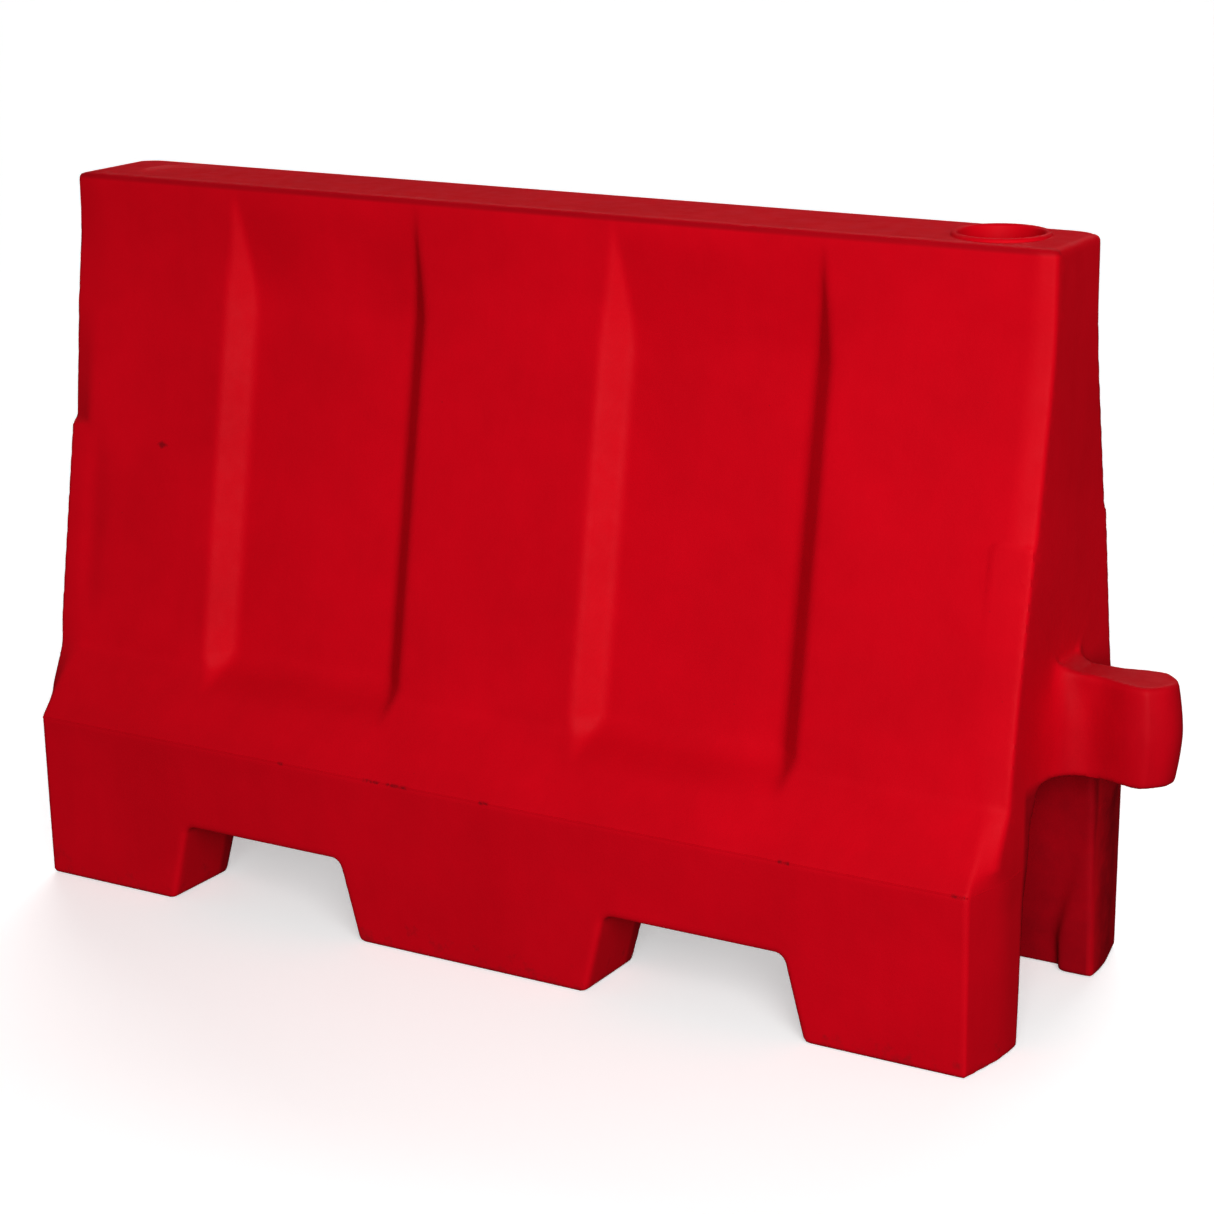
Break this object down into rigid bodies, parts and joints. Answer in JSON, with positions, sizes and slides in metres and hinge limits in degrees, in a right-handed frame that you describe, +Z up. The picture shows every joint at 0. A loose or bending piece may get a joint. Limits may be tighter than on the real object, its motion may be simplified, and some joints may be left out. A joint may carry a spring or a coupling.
{
  "type": "water filled barrier",
  "caption": "Hollow moulded road barrier with an A-shaped section, fork slots, a coupling lug and socket, a screwed filler cap and a drain plug.",
  "frame": {"origin": "On the floor, below the middle of the whole length with the lug and of the width", "axes": "+X along the length towards the lug, +Z up, front towards -Y"},
  "size_m": [1.6449, 0.498, 1.005],
  "materials": {
    "shell": "satin moulded polyethylene",
    "fitting": "satin moulded plastic",
    "gasket": "matt"
  },
  "bodies": {
    "barrier": {"barrier_body": "shell", "filler_neck": "fitting", "drain_bush": "fitting"},
    "filler_gasket": {"filler_seal": "gasket"},
    "filler_cap": {"filler_cap": "fitting"},
    "drain_gasket": {"drain_seal": "gasket"},
    "drain_plug": {"drain_plug": "fitting"}
  },
  "joints": [
    {"name": "filler_lift", "type": "slide", "parent": "barrier", "child": "filler_gasket", "axis": [0, 0, 1], "range_m": [0, 0.015]},
    {"name": "filler_turn", "type": "hinge", "parent": "filler_gasket", "child": "filler_cap", "pos_m": [0.5685, 0, 0.957], "axis": [0, 0, 1], "range_deg": [0, 900]},
    {"name": "drain_travel", "type": "slide", "parent": "barrier", "child": "drain_gasket", "axis": [0, 1, 0], "range_m": [0, 0.01]},
    {"name": "drain_turn", "type": "hinge", "parent": "drain_gasket", "child": "drain_plug", "pos_m": [-0.0725, 0.23, 0.072], "axis": [0, 1, 0], "range_deg": [0, 900]}
  ],
  "couplings": [
    {"joint": "filler_lift", "follows": "filler_turn", "m_per_rad": 0.00095493},
    {"joint": "drain_travel", "follows": "drain_turn", "m_per_rad": 0.00063662}
  ]
}
